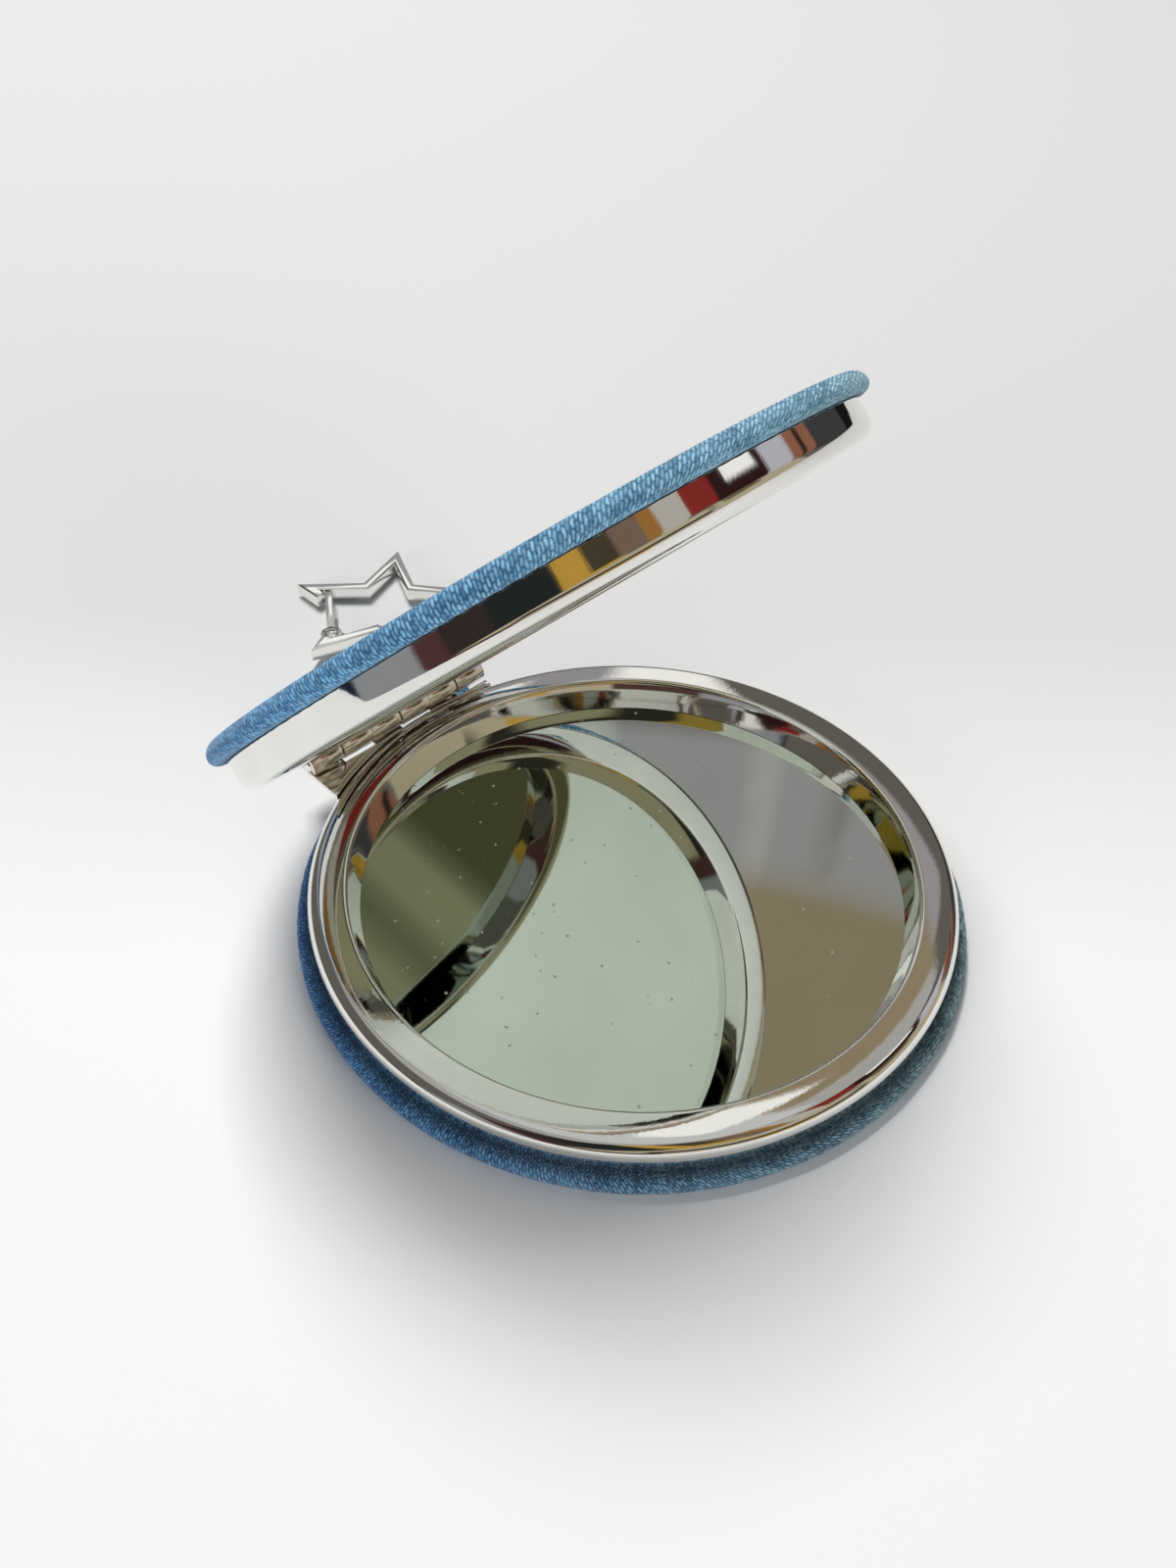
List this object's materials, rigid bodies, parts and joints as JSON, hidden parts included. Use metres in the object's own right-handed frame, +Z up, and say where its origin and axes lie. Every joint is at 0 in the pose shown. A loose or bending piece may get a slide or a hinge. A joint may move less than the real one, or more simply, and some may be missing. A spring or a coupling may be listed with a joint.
{
  "type": "compact mirror",
  "caption": "Round folding pocket mirror with denim-covered halves in bright metal frames, a rolled-knuckle hinge and a star-shaped spring-gate clip on a fabric loop.",
  "frame": {"origin": "middle of the base's flat covered underside", "axes": "+Z up out of the base's mirror, +Y from the front edge towards the hinge, +X along the hinge line"},
  "size_m": [0.073, 0.1069, 0.0635],
  "materials": {
    "denim": "blue twill with zigzag ribs",
    "strap_denim": "folded blue twill",
    "wadding": "felted wadding",
    "tray_steel": "plain pressed steel",
    "tape": "white foam tape",
    "mirror": "silvered glass",
    "magnet": "nickel plate",
    "spring_steel": "drawn wire",
    "chrome": "polished plate"
  },
  "bodies": {
    "base": {"base_cover": "denim", "base_padding": "wadding", "base_tray": "tray_steel", "base_frame": "chrome", "base_mirror_tape": "tape", "base_mirror": "mirror", "base_magnet": "magnet", "base_hinge_leaf": "chrome", "hinge_pin": "chrome", "charm_strap": "strap_denim"},
    "lid": {"lid_cover": "denim", "lid_padding": "wadding", "lid_tray": "tray_steel", "lid_frame": "chrome", "lid_mirror_tape": "tape", "lid_mirror": "mirror", "lid_magnet": "magnet", "lid_hinge_leaf": "chrome"},
    "clip": {"star_frame": "chrome", "gate_rivet": "chrome", "gate_spring": "spring_steel"},
    "gate": {"star_gate": "chrome"}
  },
  "joints": [
    {"name": "lid_hinge", "type": "hinge", "parent": "base", "child": "lid", "pos_m": [-0.00355, 0.0364, 0.00625], "axis": [-1, 0, 0], "range_deg": [-47.3, 72.7]},
    {"name": "clip_swing", "type": "hinge", "parent": "base", "child": "clip", "pos_m": [0.00788, 0.03871, 0.00165], "axis": [0.9799, -0.1994, 0], "range_deg": [-70, 25], "deforming": ["charm_strap"]},
    {"name": "gate_open", "type": "hinge", "parent": "clip", "child": "gate", "pos_m": [0.00293, 0.05803, 0.00159], "axis": [-0.0084, -0.041, -0.9991], "range_deg": [0, 28], "stiffness_Nm_per_rad": 0.0001, "springref_deg": -28.65, "deforming": ["gate_spring"]}
  ]
}
